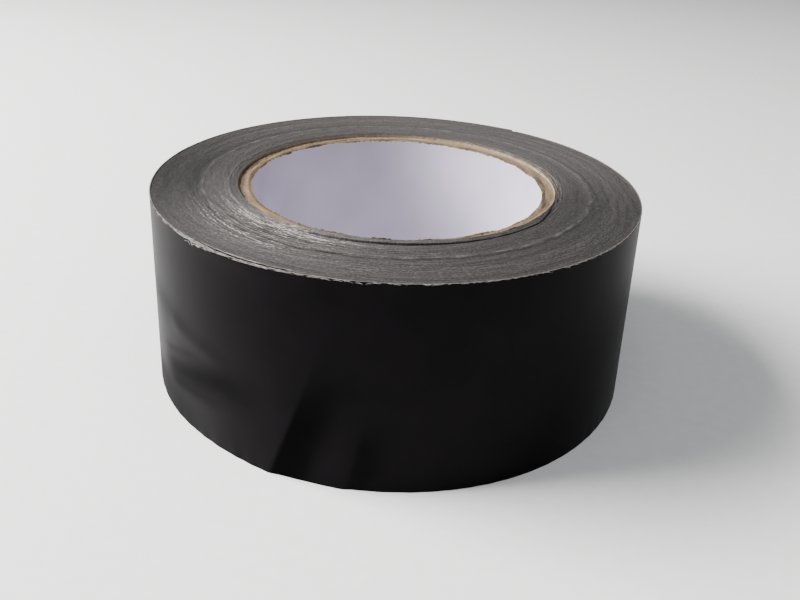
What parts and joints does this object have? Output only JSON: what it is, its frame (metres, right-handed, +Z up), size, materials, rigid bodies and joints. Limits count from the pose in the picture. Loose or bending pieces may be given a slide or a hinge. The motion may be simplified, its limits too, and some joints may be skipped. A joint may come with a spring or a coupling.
{
  "type": "duct tape roll",
  "caption": "Roll of dark cloth-backed adhesive tape wound on a paper-lined board core, lying flat, with an end that peels off.",
  "frame": {"origin": "centre of the core's bore, on the plane that the roll lies on", "axes": "+Z up along the bore; the tape's free end is at 54.5 degrees from +X, counter-clockwise seen from above"},
  "size_m": [0.1266, 0.1268, 0.0511],
  "materials": {
    "liner_paper": "uncoated white paper",
    "kraft_board": "cut edge of brown board",
    "wound_tape": "dull edges of wound tape",
    "backing_film": "semi-gloss black film",
    "scrim_adhesive": "cloth in grey adhesive"
  },
  "bodies": {
    "roll": {"core_liner": "liner_paper", "core_ply_1": "kraft_board", "core_ply_2": "kraft_board", "core_ply_3": "kraft_board", "core_ply_4": "kraft_board", "core_ply_5": "kraft_board", "starter_turns": "wound_tape", "course_1": "wound_tape", "course_2": "wound_tape", "course_3": "wound_tape", "course_4": "wound_tape", "course_5": "wound_tape", "course_6": "wound_tape", "course_7": "wound_tape", "course_8": "wound_tape", "outer_turn_film": "backing_film", "outer_turn_cloth": "scrim_adhesive"},
    "tail_1": {"tail_film_1": "backing_film", "tail_cloth_1": "scrim_adhesive"},
    "tail_2": {"tail_film_2": "backing_film", "tail_cloth_2": "scrim_adhesive"},
    "tail_3": {"tail_film_3": "backing_film", "tail_cloth_3": "scrim_adhesive"},
    "tail_4": {"tail_film_4": "backing_film", "tail_cloth_4": "scrim_adhesive"},
    "tail_5": {"tail_film_5": "backing_film", "tail_cloth_5": "scrim_adhesive"},
    "tail_6": {"tail_film_6": "backing_film", "tail_cloth_6": "scrim_adhesive"},
    "tail_7": {"tail_film_7": "backing_film", "tail_cloth_7": "scrim_adhesive"}
  },
  "joints": [
    {"name": "tail_peel", "type": "hinge", "parent": "roll", "child": "tail_1", "pos_m": [-0.03587, 0.05233, 0.0255], "axis": [0, 0, 1], "range_deg": [0, 90]},
    {"name": "tail_bend_2", "type": "hinge", "parent": "tail_1", "child": "tail_2", "pos_m": [-0.02625, 0.05777, 0.0255], "axis": [0, 0, 1], "range_deg": [0, 12]},
    {"name": "tail_bend_3", "type": "hinge", "parent": "tail_2", "child": "tail_3", "pos_m": [-0.01583, 0.06146, 0.0255], "axis": [0, 0, 1], "range_deg": [0, 12]},
    {"name": "tail_bend_4", "type": "hinge", "parent": "tail_3", "child": "tail_4", "pos_m": [-0.00492, 0.06329, 0.0255], "axis": [0, 0, 1], "range_deg": [0, 12]},
    {"name": "tail_bend_5", "type": "hinge", "parent": "tail_4", "child": "tail_5", "pos_m": [0.00613, 0.06319, 0.0255], "axis": [0, 0, 1], "range_deg": [0, 12]},
    {"name": "tail_bend_6", "type": "hinge", "parent": "tail_5", "child": "tail_6", "pos_m": [0.017, 0.06118, 0.0255], "axis": [0, 0, 1], "range_deg": [0, 12]},
    {"name": "tail_bend_7", "type": "hinge", "parent": "tail_6", "child": "tail_7", "pos_m": [0.02735, 0.05731, 0.0255], "axis": [0, 0, 1], "range_deg": [0, 12]}
  ],
  "couplings": [
    {"joint": "tail_bend_2", "follows": "tail_peel", "ratio": 0.1333},
    {"joint": "tail_bend_3", "follows": "tail_peel", "ratio": 0.1333},
    {"joint": "tail_bend_4", "follows": "tail_peel", "ratio": 0.1333},
    {"joint": "tail_bend_5", "follows": "tail_peel", "ratio": 0.1333},
    {"joint": "tail_bend_6", "follows": "tail_peel", "ratio": 0.1333},
    {"joint": "tail_bend_7", "follows": "tail_peel", "ratio": 0.1333}
  ]
}
